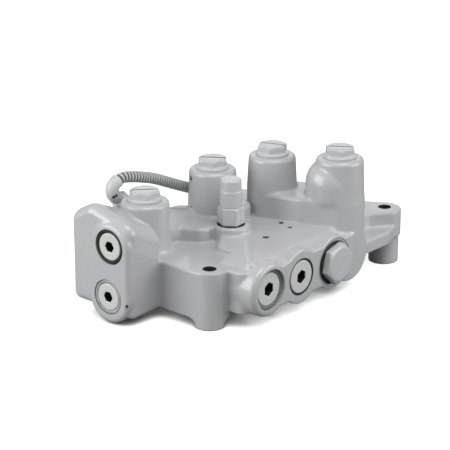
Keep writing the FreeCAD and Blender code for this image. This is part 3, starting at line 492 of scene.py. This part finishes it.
blackRubber = rubberMaterial("blackRubber", (0.006, 0.006, 0.0065), 0.6)
greyRubber = rubberMaterial("greyRubber", (0.33, 0.335, 0.335), 0.45)
# a darker copy of the grey rubber: painted shade on the front left ring in its groove
shadedGreyRubber = rubberMaterial("shadedGreyRubber", (0.15, 0.152, 0.152), 0.5)
# socket interiors: unpainted black and painted shade
socketBlackAndShade = rubberMaterial("socketBlackAndShade", (0.010, 0.010, 0.010), 0.6)
# near-black paint for bore walls: painted shade deep in narrow bores
boreShadePaint = rubberMaterial("boreShadePaint", (0.022, 0.022, 0.023), 0.7)
groundSteel = steelMaterial("groundSteel", (0.62, 0.62, 0.63), 0.25, (1.0, 1.0, 14.0))
springSteel = steelMaterial("springSteel", (0.32, 0.32, 0.33), 0.4, (4.0, 4.0, 4.0))
print("materials made")

# camera at the photograph's angle

cameraPlace = {
    "location": (-1.1550, -0.9423, 0.5842),
    "forward": (0.7168, 0.6094, -0.3389),
    "right": (0.6477, -0.7619, 0.0),
    "lens": 155.23,
    "sensor": 36.0,
    "clip": (0.05, 20.0),
}


def makeCamera(place):
    data = bpy.data.cameras.new("camera")
    data.sensor_width = place["sensor"]
    data.lens = place["lens"]
    data.clip_start, data.clip_end = place["clip"]
    camera = bpy.data.objects.new("camera", data)
    bpy.context.scene.collection.objects.link(camera)
    forward = Vector(place["forward"]).normalized()
    right = Vector(place["right"]).normalized()
    up = right.cross(forward)
    turn = Matrix((right, up, -forward)).transposed()
    camera.matrix_world = Matrix.Translation(place["location"]) @ turn.to_4x4()
    bpy.context.scene.camera = camera


makeCamera(cameraPlace)

# the casting: bores plugged, skin remeshed and softened as a casting is, bores cut again

castingSizes = {
    "voxel": 0.9,
    "quickVoxel": 1.3,
    "reach": 2.2,
    "rounds": 3,
    "ridgeShare": 0.12,
    "bendRounds": 3,
    "bendGain": 25.0,
    "weightSteps": 20,
    "meltedFoot": {"place": (38.2, -49.3, 74.0), "reach": 27.5, "height": 12.0, "steps": 50, "edgeGain": 2.0,
                   "weightSteps": 10},
    "triangles": 185000,
    "triangleShare": 0.94,
    "boreFill": 0.4,
    "mouthFill": 6.0,
    "cutLead": 3.0,
    "cutSides": 72,
    "sharpAngle": 38,
}
boreShade = {
    "skin": 0.4,
    "facing": -0.7,
    "litMouth": 1.6,
    "deepFrom": 6.0,
    "wideFrom": 12.0,
    "never": 50.0,
}
footHoleRadius = 5.5
towerBoreRadius = 11.0
towerBoreFloor = 44.0
footTop = 47.0
towerBores = [(-101.4, 35.7, 88.0), (-21.5, 34.5, 95.0), (20.0, 6.0, 102.5), (38.2, -49.3, 107.0)]
footHoles = [(-102.3, -31.7), (102.3, -49.0), (66.5, 36.0), (-81.5, 74.0)]
downward = (0, 0, -1)
inward = (0, 1, 0)
outward = (0, -1, 0)
rightward = (1, 0, 0)
bores = []
for x, y, top in towerBores:
    bores.append(((x, y, top), downward, towerBoreRadius, top - towerBoreFloor))
for x, y in footHoles:
    bores.append(((x, y, footTop), downward, footHoleRadius, footTop))
bores += [
    ((-73.5, -70.0, 30.5), inward, 16.7, 5.2),
    ((-73.5, -70.0, 30.5), inward, 9.0, 40.0),
    ((-36.3, -70.0, 30.5), inward, 15.2, 1.8),
    ((-36.3, -70.0, 30.5), inward, 9.0, 40.0),
    ((6.0, -70.0, 30.5), inward, 20.3, 0.8),
    ((6.0, -70.0, 30.5), inward, 13.0, 26.0),
    ((6.0, 66.0, 30.5), outward, 13.0, 26.0),
    ((-151.5, 30.0, 22.6), rightward, 14.2, 3.2),
    ((-151.5, 30.0, 22.6), rightward, 7.0, 30.0),
    ((-151.5, 27.6, 64.4), rightward, 14.2, 3.2),
    ((-151.5, 27.6, 64.4), rightward, 7.0, 30.0),
    ((-38.0, 1.0, 59.0), downward, 11.5, 1.8),
    ((-38.0, 1.0, 59.0), downward, 9.0, 17.0),
    ((-24.0, 66.0, 30.5), outward, 10.45, 18.0),
    ((38.2, 66.0, 30.5), outward, 10.45, 18.0),
]


def hollowGroup(obj, sizes):
    mesh = obj.data
    count = len(mesh.vertices)
    points = readVectors(mesh.vertices, "co")
    normals = readVectors(mesh.vertices, "normal")
    ends = np.empty(len(mesh.edges) * 2, dtype=np.int64)
    mesh.edges.foreach_get("vertices", ends)
    a, b = ends.reshape(-1, 2).T
    near = np.bincount(a, minlength=count) + np.bincount(b, minlength=count)

    def neighbours(values):
        total = np.empty_like(values)
        for axis in range(values.shape[1]):
            total[:, axis] = np.bincount(a, values[b, axis], count) + np.bincount(b, values[a, axis], count)
        return total / near[:, None]

    bend = np.sum((neighbours(points) - points) * normals, axis=1, keepdims=True)
    for i in range(sizes["bendRounds"]):
        bend = neighbours(bend) * 0.5 + bend * 0.5
    spacing = np.mean(np.linalg.norm(points[a] - points[b], axis=1))
    share = np.clip(bend[:, 0] / spacing * sizes["bendGain"], 0.0, 1.0)
    weights = sizes["ridgeShare"] + (1.0 - sizes["ridgeShare"]) * share
    setWeights(obj, "hollows", weights, sizes["weightSteps"])


def meltFoot(obj, sizes, voxel):
    offset = readVectors(obj.data.vertices, "co") / mm - np.array(sizes["place"])
    flat = np.linalg.norm(offset[:, :2], axis=1)
    share = np.clip(1.0 - np.abs(offset[:, 2]) / sizes["height"], 0.0, 1.0) * (flat < sizes["reach"])
    share = np.clip(share * sizes["edgeGain"], 0.0, 1.0)
    setWeights(obj, "foot", share, sizes["weightSteps"])
    steps = round(sizes["steps"] / voxel ** 2)
    applyModifier(obj, "SMOOTH", factor=smoothFactor, iterations=steps, vertex_group="foot")


# painted shade: walls of deep narrow bores past their lit mouth take the near-black second material
def darkenBores(obj, shade):
    faces = obj.data.polygons
    centres = readVectors(faces, "center") / mm
    normals = readVectors(faces, "normal")
    dark = np.zeros(len(faces), dtype=bool)
    for start, direction, radius, length in bores:
        axis = np.array(direction, dtype=float)
        offset = centres - np.array(start)
        along = offset @ axis
        across = offset - along[:, None] * axis
        reach = np.linalg.norm(across, axis=1)
        facing = np.sum(normals * across, axis=1) / np.maximum(reach, 0.001)
        deep = length > shade["deepFrom"] and radius < shade["wideFrom"]
        darkFrom = shade["litMouth"] if deep else shade["never"]
        onWall = (np.abs(reach - radius) < shade["skin"]) & (facing < shade["facing"])
        dark |= onWall & (along > darkFrom) & (along < length)
    faces.foreach_set("material_index", dark.astype(np.int32))


def makeCasting(sizes):
    body = nodeCopy("valve_body", "castBody")
    fills = []
    for start, direction, radius, length in bores:
        filled = length if radius == footHoleRadius else min(length, sizes["mouthFill"])
        fills.append(bar(start, direction, radius + sizes["boreFill"], filled))
    body = joinAll(body, fills)
    voxel = remesh(body, sizes)
    print("casting remeshed", len(body.data.polygons))
    steps = round((sizes["reach"] / voxel) ** 2 / smoothFactor / sizes["rounds"])
    for i in range(sizes["rounds"]):
        hollowGroup(body, sizes)
        applyModifier(body, "SMOOTH", factor=smoothFactor, iterations=steps, vertex_group="hollows")
    meltFoot(body, sizes["meltedFoot"], voxel)
    body.vertex_groups.clear()
    print("casting softened")
    ratio = min(1.0, sizes["triangles"] * sizes["triangleShare"] / triangleCount(body))
    applyModifier(body, "DECIMATE", ratio=ratio)
    lead = sizes["cutLead"]
    cutters = []
    for start, direction, radius, length in bores:
        first = Vector(start) - Vector(direction) * lead
        extra = 2 * lead if radius == footHoleRadius else lead
        cutters.append(bar(first, direction, radius, length + extra, sizes["cutSides"]))
    for cutter in cutters:
        applyModifier(body, "BOOLEAN", operation="DIFFERENCE", object=cutter, solver="MANIFOLD")
    for cutter in cutters:
        bpy.data.objects.remove(cutter)
    smoothByAngle(body, sizes["sharpAngle"])
    body.data.materials.clear()
    body.data.materials.append(castPaint)
    body.data.materials.append(boreShadePaint)
    darkenBores(body, boreShade)
    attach(body, "housing")
    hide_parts("valve_body")
    print("casting bored", len(body.data.polygons))


makeCasting(castingSizes)

# fittings with their edges eased, as paint leaves them

fittingSizes = {
    "voxel": 0.38,
    "quickVoxel": 0.5,
    "reach": 0.5,
    "wideFace": 45.0,
    "planeReach": 0.15,
    "sameTurn": 0.99,
    "triangles": 90000,
}
slotSizes = {
    "width": 2.0,
    "depth": 2.4,
    "rise": 8.8,
    "turns": (-43.5, -56.0, -70.0, -56.5),
    "length": 30.0,
    "headroom": 4.0,
    "sideSkin": 0.02,
    "endSkin": 0.05,
    "sharpAngle": 60,
}
fittingNodes = ["tower_plug_1", "tower_plug_2", "tower_plug_3", "tower_plug_4", "spool_plug", "spool_rear_plug",
                "relief_body", "relief_cap", "conduit_gland_left", "conduit_gland_right"]


def widePlanes(mesh, leastArea):
    totals = {}
    for face in mesh.polygons:
        normal = face.normal
        level = normal.dot(face.center) / mm
        key = (round(normal.x, 2), round(normal.y, 2), round(normal.z, 2), round(level, 1))
        size = face.area / mm ** 2
        area, turn, place = totals.get(key, (0.0, Vector((0, 0, 0)), Vector((0, 0, 0))))
        totals[key] = (area + size, turn + normal * size, place + face.center / mm * size)
    wide = [(turn.normalized(), place / area) for area, turn, place in totals.values() if area > leastArea]
    return [(tuple(turn), turn.dot(place)) for turn, place in wide]


def flattenPlanes(obj, planes, sizes):
    mesh = obj.data
    points = readVectors(mesh.vertices, "co") / mm
    normals = readVectors(mesh.vertices, "normal")
    for normal, level in planes:
        normal = np.array(normal)
        height = points @ normal - level
        chosen = (np.abs(height) < sizes["planeReach"]) & (normals @ normal > sizes["sameTurn"])
        points[chosen] -= height[chosen, None] * normal
    mesh.vertices.foreach_set("co", (points * mm).ravel())
    mesh.update()


def easedCopy(node, sizes):
    obj = nodeCopy(node, pieceName(node, "Painted"))
    planes = widePlanes(obj.data, sizes["wideFace"])
    voxel = remesh(obj, sizes)
    steps = max(1, round((sizes["reach"] / voxel) ** 2 / smoothFactor))
    applyModifier(obj, "SMOOTH", factor=smoothFactor, iterations=steps)
    flattenPlanes(obj, planes, sizes)
    triangles = triangleCount(obj)
    if triangles > sizes["triangles"]:
        applyModifier(obj, "DECIMATE", ratio=sizes["triangles"] / triangles)
    return obj


def cutSlot(obj, tower, turn, sizes):
    x, y, top = tower
    high = top + sizes["rise"]
    deselectAll()
    middle = high + sizes["headroom"] / 2 - sizes["depth"] / 2
    bpy.ops.mesh.primitive_cube_add(size=1, location=Vector((x, y, middle)) * mm,
                                    rotation=(0, 0, math.radians(turn)))
    cutter = bpy.context.object
    cutter.scale = (sizes["length"] * mm, sizes["width"] * mm, (sizes["depth"] + sizes["headroom"]) * mm)
    settle(cutter)
    applyModifier(obj, "BOOLEAN", operation="DIFFERENCE", object=cutter, solver="MANIFOLD")
    bpy.data.objects.remove(cutter)
    across = Vector((-math.sin(math.radians(turn)), math.cos(math.radians(turn)), 0))
    # faces inside the slot take the second material, the painted slot shade
    for face in obj.data.polygons:
        place = face.center / mm - Vector((x, y, 0))
        between = abs(place.dot(across)) < sizes["width"] / 2 + sizes["sideSkin"]
        if between and high - sizes["depth"] - sizes["endSkin"] < place.z < high - sizes["endSkin"]:
            face.material_index = 1


def makeFittings(nodes, sizes):
    for node in nodes:
        obj = easedCopy(node, sizes)
        obj.data.materials.append(fittingPaint)
        if node.startswith("tower_plug"):
            obj.data.materials.append(slotShadePaint)
            number = int(node[-1]) - 1
            cutSlot(obj, towerBores[number], slotSizes["turns"][number], slotSizes)
            smoothByAngle(obj, slotSizes["sharpAngle"])
        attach(obj, "housing")
        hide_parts(node)


makeFittings(fittingNodes, fittingSizes)
print("fittings eased")

# socket plugs, dark inside their sockets (unpainted black and painted shade): centre, axis and the socket's reach

socketSizes = dict(fittingSizes, reach=0.3)
socketDepths = (0.5, 8.0)
socketPlugs = {
    "front_plug_left": ((-73.5, 0, 30.5), "y", 5.9),
    "front_plug_middle": ((-36.3, 0, 30.5), "y", 5.9),
    "end_plug_lower": ((0, 30.0, 22.6), "x", 4.75),
    "end_plug_upper": ((0, 27.6, 64.4), "x", 4.75),
}


def makeSocketPlug(node, centre, axis, reach):
    obj = easedCopy(node, socketSizes)
    obj.data.materials.append(socketPaint)
    obj.data.materials.append(socketBlackAndShade)
    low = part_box(node)[0]
    axisIndex = "xyz".index(axis)
    for face in obj.data.polygons:
        offset = Vector(face.center) / mm - Vector(centre)
        offset[axisIndex] = 0
        depth = (face.center[axisIndex] - low[axisIndex]) / mm
        if offset.length < reach and socketDepths[0] < depth < socketDepths[1]:
            face.material_index = 1
    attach(obj, "housing")
    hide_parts(node)


for node, (centre, axis, reach) in socketPlugs.items():
    makeSocketPlug(node, centre, axis, reach)
print("socket plugs made")

# corrugated conduit along its route

conduitSizes = {
    "route": [(-103.5, 63.2, 83.5), (-110.6, 62.8, 89.3), (-109.1, 62.5, 96.6), (-100.2, 61.5, 100.7),
              (-86.0, 60.0, 97.9), (-64.0, 61.0, 91.0), (-38.0, 62.0, 79.0), (-8.0, 61.0, 66.0)],
    "pitch": 3.2,
    "crest": 4.6,
    "root": 3.3,
    "sides": 32,
    "lowShare": 0.15,
    "highShare": 0.85,
    "rootEnd": 0.16,
    "riseSteps": (0.24, 0.34, 0.42),
    "fallSteps": (0.74, 0.82, 0.92),
    "grooveGain": 1.15,
    "sharpAngle": 50,
}
bendValues = {
    "reachShare": 0.45,
    "stepLength": 0.6,
    "leastSteps": 4,
}


def bentRoute(corners, values):
    points = [Vector(corners[0])]
    for i in range(1, len(corners) - 1):
        corner = Vector(corners[i])
        back = Vector(corners[i - 1]) - corner
        ahead = Vector(corners[i + 1]) - corner
        reach = values["reachShare"] * min(back.length, ahead.length)
        halfTurn = (math.pi - back.angle(ahead)) / 2
        radius = reach / math.tan(halfTurn)
        bisector = (back.normalized() + ahead.normalized()).normalized()
        centre = corner + bisector * (radius / math.cos(halfTurn))
        first = corner + back.normalized() * reach - centre
        turn = corner + ahead.normalized() * reach - centre
        axis = first.cross(turn)
        steps = max(values["leastSteps"], round(2 * halfTurn * radius / values["stepLength"]))
        for k in range(steps + 1):
            points.append(centre + Matrix.Rotation(2 * halfTurn * k / steps, 3, axis) @ first)
    points.append(Vector(corners[-1]))
    return points


def routeCurve(corners):
    places = bentRoute(corners, bendValues)
    data = bpy.data.curves.new("conduitRoute", "CURVE")
    data.dimensions = "3D"
    spline = data.splines.new("POLY")
    spline.points.add(len(places) - 1)
    for point, place in zip(spline.points, places):
        point.co = (*(place * mm), 1.0)
    obj = bpy.data.objects.new("conduitRoute", data)
    bpy.context.scene.collection.objects.link(obj)
    return obj


def curveLength(obj):
    line = bpy.data.meshes.new_from_object(obj)
    total = 0.0
    for edge in line.edges:
        a, b = edge.vertices
        total += (line.vertices[a].co - line.vertices[b].co).length
    bpy.data.meshes.remove(line)
    return total


def makeConduit(sizes):
    route = routeCurve(sizes["route"])
    length = curveLength(route) / mm
    count = round(length / sizes["pitch"])
    pitch = length / count
    crest, root = sizes["crest"], sizes["root"]
    low = root + (crest - root) * sizes["lowShare"]
    high = root + (crest - root) * sizes["highShare"]
    rise = list(zip(sizes["riseSteps"], (low, high, crest)))
    fall = list(zip(sizes["fallSteps"], (crest, high, low)))
    profile = [(0.0, root), (sizes["rootEnd"], root)] + rise + fall
    sides = sizes["sides"]
    points = []
    faces = []
    rows = [(k + step, radius) for k in range(count) for step, radius in profile] + [(count, root)]
    for step, radius in rows:
        for i in range(sides):
            angle = 2 * math.pi * i / sides
            points.append((step * pitch * mm, radius * math.cos(angle) * mm, radius * math.sin(angle) * mm))
    for row in range(len(rows) - 1):
        for i in range(sides):
            j = (i + 1) % sides
            faces.append((row * sides + i, row * sides + j, (row + 1) * sides + j, (row + 1) * sides + i))
    faces.append(tuple(range(sides)))
    faces.append(tuple((len(rows) - 1) * sides + i for i in range(sides)))
    mesh = bpy.data.meshes.new("conduitRibbed")
    mesh.from_pydata(points, [], faces)
    groove = mesh.attributes.new("groove", "FLOAT", "POINT")
    for row, (step, radius) in enumerate(rows):
        for i in range(sides):
            depth = (crest - radius) / (crest - root) * sizes["grooveGain"]
            groove.data[row * sides + i].value = min(1.0, depth)
    obj = bpy.data.objects.new("conduitRibbed", mesh)
    bpy.context.scene.collection.objects.link(obj)
    editMesh(obj, "FACE")
    bpy.ops.mesh.select_all(action="SELECT")
    bpy.ops.mesh.normals_make_consistent(inside=False)
    leaveEdit()
    applyModifier(obj, "CURVE", object=route, deform_axis="POS_X")
    bpy.data.objects.remove(route)
    smoothByAngle(obj, sizes["sharpAngle"])
    obj.data.materials.append(conduitPaint)
    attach(obj, "housing")
    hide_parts("conduit")


makeConduit(conduitSizes)
print("conduit made")

# round seal rings: centre, axis, middle radius, half thickness, flatness along the axis, slot, material

ringSizes = {"around": 96, "across": 20, "sharpAngle": 60}
sealRings = {
    "relief_oring": ((-38.0, 1.0, 58.4), "z", 10.2, 1.2, 1.0, "black_seals", blackRubber),
    "front_oring_left": ((-73.5, -66.25, 30.5), "y", 14.95, 1.45, 1.0, "painted_seals", shadedGreyRubber),
    "front_oring_middle": ((-36.3, -69.0, 30.5), "y", 14.3, 0.8, 1.0, "black_seals", blackRubber),
    "spool_plug_oring": ((6.0, -69.9, 30.5), "y", 16.7, 1.3, 0.5, "black_seals", blackRubber),
    "end_oring_lower": ((-149.7, 30.0, 22.6), "x", 12.5, 1.4, 1.0, "painted_seals", greyRubber),
    "end_oring_upper": ((-149.7, 27.6, 64.4), "x", 12.5, 1.4, 1.0, "black_seals", blackRubber),
}
ringTurns = {"x": (0, math.pi / 2, 0), "y": (math.pi / 2, 0, 0), "z": (0, 0, 0)}


def makeRing(node, centre, axis, middle, section, flat, slot, material):
    deselectAll()
    bpy.ops.mesh.primitive_torus_add(major_segments=ringSizes["around"], minor_segments=ringSizes["across"],
                                     major_radius=middle * mm, minor_radius=section * mm,
                                     location=Vector(centre) * mm, rotation=ringTurns[axis])
    obj = bpy.context.object
    obj.name = pieceName(node, "Round")
    obj.scale = (1.0, 1.0, flat)
    settle(obj)
    smoothByAngle(obj, ringSizes["sharpAngle"])
    obj.data.materials.append(material)
    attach(obj, "housing")
    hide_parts(node)


for node, ring in sealRings.items():
    makeRing(node, *ring)
print("seal rings made")

# materials of the nodes that stay as they are

keptNodes = {
    "conduit_sleeve": sleevePaint,
    "spool_rear_oring": blackRubber,
    "spool": groundSteel,
    "relief_seat": groundSteel,
    "relief_poppet": groundSteel,
    "relief_screw": groundSteel,
    "relief_locknut": groundSteel,
    "relief_spring": springSteel,
    "spool_spring_front": springSteel,
    "spool_spring_rear": springSteel,
}
for number in "1234":
    keptNodes["tower_oring_" + number] = blackRubber
    keptNodes["poppet_" + number] = groundSteel
    keptNodes["poppet_spring_" + number] = springSteel
for node, material in keptNodes.items():
    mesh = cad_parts[node].data
    if len(mesh.materials):
        mesh.materials[0] = material
    else:
        mesh.materials.append(material)
print("kept nodes dressed")

# floor, world and lights

stageSizes = {
    "floorSize": 8.0,
    "floorPaint": 0.50,
    "floorBounce": 0.25,
    "floorGlow": 0.85,
    "floorRoughness": 0.9,
    "floorGloss": 0.1,
    "shadowSamples": 16,
    "shadowReach": 0.018,
    "shadowRange": (0.12, 0.55),
    "worldLight": 0.24,
}
lampTarget = (0, 0, 0.05)
lamps = {
    "topLamp": {"place": (-0.2, -0.5, 1.3), "size": (1.0, 0.8), "power": 10.0},
    "leftLamp": {"place": (-1.0, 0.5, 0.4), "size": (1.0, 0.8), "power": 10.0},
    "rightLamp": {"place": (0.5, -0.95, 0.35), "size": (0.8, 0.6), "power": 5.6},
    "backLamp": {"place": (1.1, 1.0, 0.75), "size": (1.2, 0.8), "power": 2.5},
}


def makeFloor(sizes):
    deselectAll()
    bpy.ops.mesh.primitive_plane_add(size=sizes["floorSize"], location=(0, 0, 0))
    floor = bpy.context.object
    floor.name = "floor"
    material, tree, shader = newMaterial("floorPaint")
    shader.inputs["Roughness"].default_value = sizes["floorRoughness"]
    shader.inputs["Specular IOR Level"].default_value = sizes["floorGloss"]
    rays = addNode(tree, "ShaderNodeLightPath")
    bounce = (*[sizes["floorBounce"]] * 3, 1.0)
    paint = (*[sizes["floorPaint"]] * 3, 1.0)
    wire(tree, mixColors(tree, rays.outputs["Is Camera Ray"], bounce, paint), shader.inputs["Base Color"])
    # painted contact shadow: the floor's glow is dimmed by ambient occlusion close to the part
    near = addNode(tree, "ShaderNodeAmbientOcclusion", samples=sizes["shadowSamples"])
    near.inputs["Distance"].default_value = sizes["shadowReach"]
    shade = rangeNode(tree, near.outputs["AO"], *sizes["shadowRange"])
    glow = mathNode(tree, "MULTIPLY", rays.outputs["Is Camera Ray"], sizes["floorGlow"])
    glow = mathNode(tree, "MULTIPLY", glow, shade)
    shader.inputs["Emission Color"].default_value = (1.0, 1.0, 1.0, 1.0)
    wire(tree, glow, shader.inputs["Emission Strength"])
    floor.data.materials.append(material)


def makeWorld(sizes):
    world = bpy.data.worlds.new("studio")
    bpy.context.scene.world = world
    world.use_nodes = True
    tree = world.node_tree
    background = tree.nodes["Background"]
    background.inputs["Color"].default_value = (1.0, 1.0, 1.0, 1.0)
    rays = addNode(tree, "ShaderNodeLightPath")
    seen = mathNode(tree, "MULTIPLY", rays.outputs["Is Camera Ray"], 1.0 - sizes["worldLight"])
    wire(tree, mathNode(tree, "ADD", seen, sizes["worldLight"]), background.inputs["Strength"])


def makeLamp(name, place, target, size, power):
    data = bpy.data.lights.new(name, "AREA")
    data.shape = "RECTANGLE"
    data.size, data.size_y = size
    data.energy = power
    lamp = bpy.data.objects.new(name, data)
    bpy.context.scene.collection.objects.link(lamp)
    lamp.location = place
    lamp.rotation_euler = (Vector(target) - Vector(place)).to_track_quat("-Z", "Y").to_euler()


makeFloor(stageSizes)
makeWorld(stageSizes)
for name, lamp in lamps.items():
    makeLamp(name, lamp["place"], lampTarget, lamp["size"], lamp["power"])
bpy.context.scene.view_settings.view_transform = "Standard"
print("stage made")
